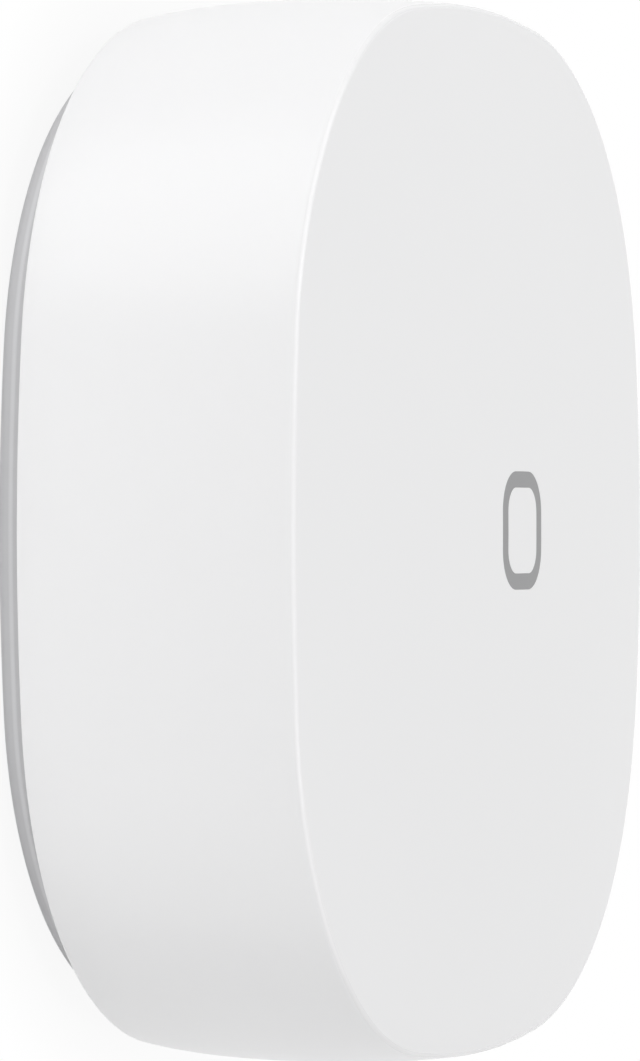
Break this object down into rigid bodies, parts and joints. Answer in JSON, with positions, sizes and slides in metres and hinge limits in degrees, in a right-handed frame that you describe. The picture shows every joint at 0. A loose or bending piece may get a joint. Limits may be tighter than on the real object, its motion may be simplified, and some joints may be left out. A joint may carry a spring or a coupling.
{
  "type": "smart button",
  "caption": "Wireless push button: a white domed cap with bulged square outline that presses down over a grey magnetic base holding a coin cell.",
  "frame": {"origin": "middle of the flat back face, which rests on the surface", "axes": "+Z out of the face, against the press; +X towards the pry notch of the rear cover; +Y the picture's up"},
  "size_m": [0.029, 0.029, 0.0099],
  "materials": {
    "cap_plastic": "fine satin moulding",
    "mark_grey": "flat grey inlay",
    "cover_plastic": "fine matt moulding",
    "chassis_plastic": "matt moulding",
    "silicone": "soft silicone",
    "board": "solder resist on glass fibre",
    "steel_zinc": "zinc plated",
    "tin_sheet": "bright tin sheet",
    "nickel": "nickel plate",
    "spring_bronze": "spring bronze",
    "gold_pad": "gold flash",
    "switch_plastic": "black nylon",
    "plunger_plastic": "natural nylon",
    "chip_resin": "black moulding resin",
    "ceramic_tan": "fired ceramic",
    "ceramic_white": "fired ceramic",
    "resin_yellow": "moulding resin",
    "led_resin": "clear resin",
    "cell_steel": "nickel plated steel",
    "gasket_plastic": "moulded ring",
    "cell_mass": "pressed powder",
    "foam": "closed cell foam"
  },
  "bodies": {
    "base": {"chassis": "chassis_plastic", "circuit_board": "board", "board_screws": "steel_zinc", "switch_body": "switch_plastic", "switch_contacts": "tin_sheet", "snap_dome": "spring_bronze", "switch_plate": "tin_sheet", "shield_can": "tin_sheet", "radio_chip": "chip_resin", "crystal": "tin_sheet", "chip_antenna": "ceramic_white", "memory_chip": "chip_resin", "reservoir_capacitor": "resin_yellow", "temperature_sensor": "chip_resin", "indicator_led": "led_resin", "small_capacitors": "ceramic_tan", "small_resistors": "chip_resin", "test_pads": "gold_pad", "negative_contact": "spring_bronze", "positive_contact": "spring_bronze", "connect_switch_body": "switch_plastic", "connect_switch_plate": "tin_sheet", "connect_dome": "spring_bronze", "return_pads": "silicone"},
    "cap": {"button_cap": "cap_plastic", "press_mark": "mark_grey", "actuator_pad": "silicone"},
    "switch_plunger": {"switch_plunger": "plunger_plastic"},
    "rear_cover": {"rear_cover": "cover_plastic", "magnet": "nickel", "magnet_plate": "steel_zinc", "cell_pad": "foam"},
    "coin_cell": {"cell_can": "cell_steel", "cell_gasket": "gasket_plastic", "cell_lid": "cell_steel", "cell_core": "cell_mass"},
    "connect_plunger": {"connect_plunger": "plunger_plastic"}
  },
  "joints": [
    {"name": "press_travel", "type": "slide", "parent": "base", "child": "cap", "axis": [0, 0, -1], "range_m": [0, 0.00025], "stiffness_N_per_m": 4000, "springref_m": -0.0001, "deforming": ["return_pads"]},
    {"name": "switch_press", "type": "slide", "parent": "base", "child": "switch_plunger", "axis": [0, 0, -1], "range_m": [0, 0.00025], "deforming": ["snap_dome"]},
    {"name": "cover_release", "type": "slide", "parent": "base", "child": "rear_cover", "axis": [0, 0, -1], "range_m": [0, 0.012]},
    {"name": "cell_removal", "type": "slide", "parent": "base", "child": "coin_cell", "axis": [0, 0, -1], "range_m": [0, 0.006]},
    {"name": "connect_press", "type": "slide", "parent": "base", "child": "connect_plunger", "axis": [0, 0, 1], "range_m": [0, 0.0002], "stiffness_N_per_m": 5000, "springref_m": -0.0001, "deforming": ["connect_dome"]}
  ],
  "couplings": [
    {"joint": "switch_press", "follows": "press_travel", "ratio": 1},
    {"joint": "cell_removal", "follows": "cover_release", "ratio": 0.5}
  ]
}
